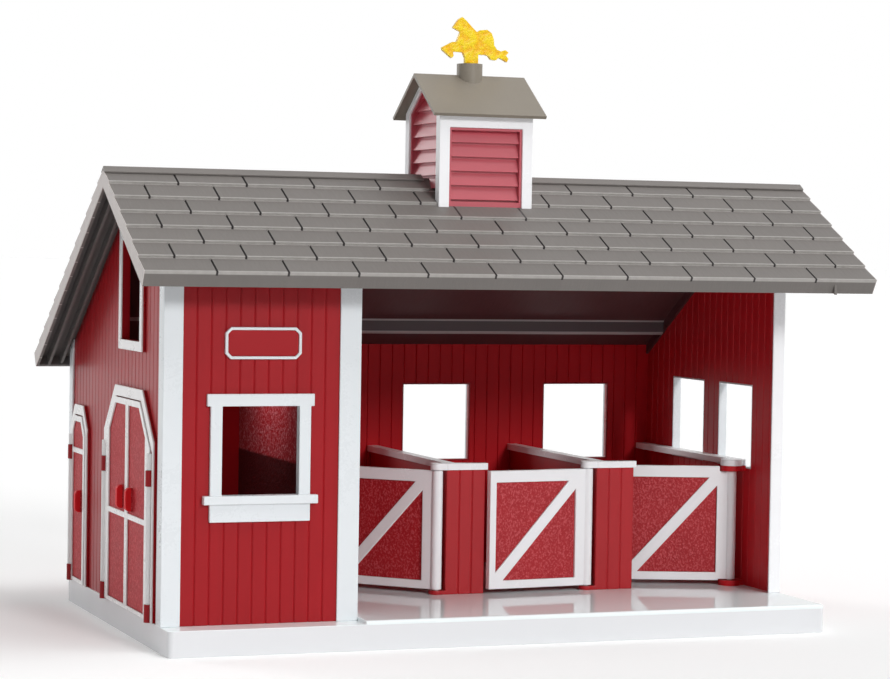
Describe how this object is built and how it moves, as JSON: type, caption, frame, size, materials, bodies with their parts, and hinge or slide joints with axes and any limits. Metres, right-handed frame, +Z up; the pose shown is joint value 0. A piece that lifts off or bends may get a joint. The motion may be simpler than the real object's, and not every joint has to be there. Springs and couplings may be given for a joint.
{
  "type": "toy barn",
  "caption": "Toy stable with a closed room, open horse stalls with swinging gates, hinged barn doors, a shingled saltbox roof, a cupola and a turning weather vane.",
  "frame": {"origin": "centre of the base tray's underside", "axes": "+X to the barn's right seen from the front, +Y to the back, +Z up"},
  "size_m": [0.33, 0.2081, 0.2698],
  "materials": {
    "white": "glossy white moulded plastic",
    "red": "satin red moulded plastic",
    "grained_red": "red plastic with moulded wood grain",
    "grey": "matt warm grey plastic",
    "yellow": "yellow plastic"
  },
  "bodies": {
    "barn": {"back_wall": "red", "back_window_frame_1": "white", "back_window_frame_2": "white", "back_window_frame_3": "white", "base_tray": "white", "cupola_frame": "white", "cupola_roof": "grey", "divider_cap_1": "white", "divider_cap_2": "white", "double_door_surround": "white", "front_room_wall": "red", "front_window_frame": "white", "left_gable_wall": "red", "loft_frame": "white", "louvre_back": "red", "louvre_front": "red", "louvre_left": "red", "louvre_right": "red", "partition_wall": "red", "post_back_left": "white", "post_back_right": "white", "post_left_front": "white", "post_middle_front": "white", "post_right_front": "white", "ridge_strip_left": "grey", "ridge_strip_right": "grey", "right_gable_wall": "red", "right_ledge": "white", "roof_back": "grey", "roof_front": "grey", "side_window_frame_1": "white", "side_window_frame_2": "white", "sign_board": "red", "sign_rim": "white", "single_door_surround": "white", "stall_divider_1": "red", "stall_divider_2": "red", "stall_jamb": "red"},
    "gate_1": {"gate_frame_1": "white", "gate_panel_1": "grained_red"},
    "gate_2": {"gate_frame_2": "white", "gate_panel_2": "grained_red"},
    "gate_3": {"gate_frame_3": "white", "gate_panel_3": "grained_red"},
    "door_leaf_front": {"double_leaf_frame_1": "white", "double_leaf_panel_1": "grained_red"},
    "door_leaf_rear": {"double_leaf_frame_2": "white", "double_leaf_panel_2": "grained_red"},
    "side_door": {"single_leaf_frame": "white", "single_leaf_panel": "grained_red"},
    "vane": {"weather_vane": "yellow"}
  },
  "joints": [
    {"name": "gate_1_hinge", "type": "hinge", "parent": "barn", "child": "gate_1", "pos_m": [-0.0071, -0.0186, 0.0415], "axis": [0, 0, 1], "range_deg": [-38, 157]},
    {"name": "gate_2_hinge", "type": "hinge", "parent": "barn", "child": "gate_2", "pos_m": [0.0663, -0.0186, 0.0415], "axis": [0, 0, 1], "range_deg": [-90.5, 104.5]},
    {"name": "gate_3_hinge", "type": "hinge", "parent": "barn", "child": "gate_3", "pos_m": [0.1397, -0.0186, 0.0415], "axis": [0, 0, 1], "range_deg": [-66, 109]},
    {"name": "front_leaf_hinge", "type": "hinge", "parent": "barn", "child": "door_leaf_front", "pos_m": [-0.1511, -0.0644, 0.043], "axis": [0, 0, 1], "range_deg": [0, 110]},
    {"name": "rear_leaf_hinge", "type": "hinge", "parent": "barn", "child": "door_leaf_rear", "pos_m": [-0.1511, 0.0148, 0.043], "axis": [0, 0, -1], "range_deg": [0, 110]},
    {"name": "side_door_hinge", "type": "hinge", "parent": "barn", "child": "side_door", "pos_m": [-0.1511, 0.0816, 0.043], "axis": [0, 0, -1], "range_deg": [0, 110]},
    {"name": "vane_swivel", "type": "hinge", "parent": "barn", "child": "vane", "pos_m": [-0.0005, -0.0332, 0.2497], "axis": [0, 0, 1], "continuous": true}
  ]
}
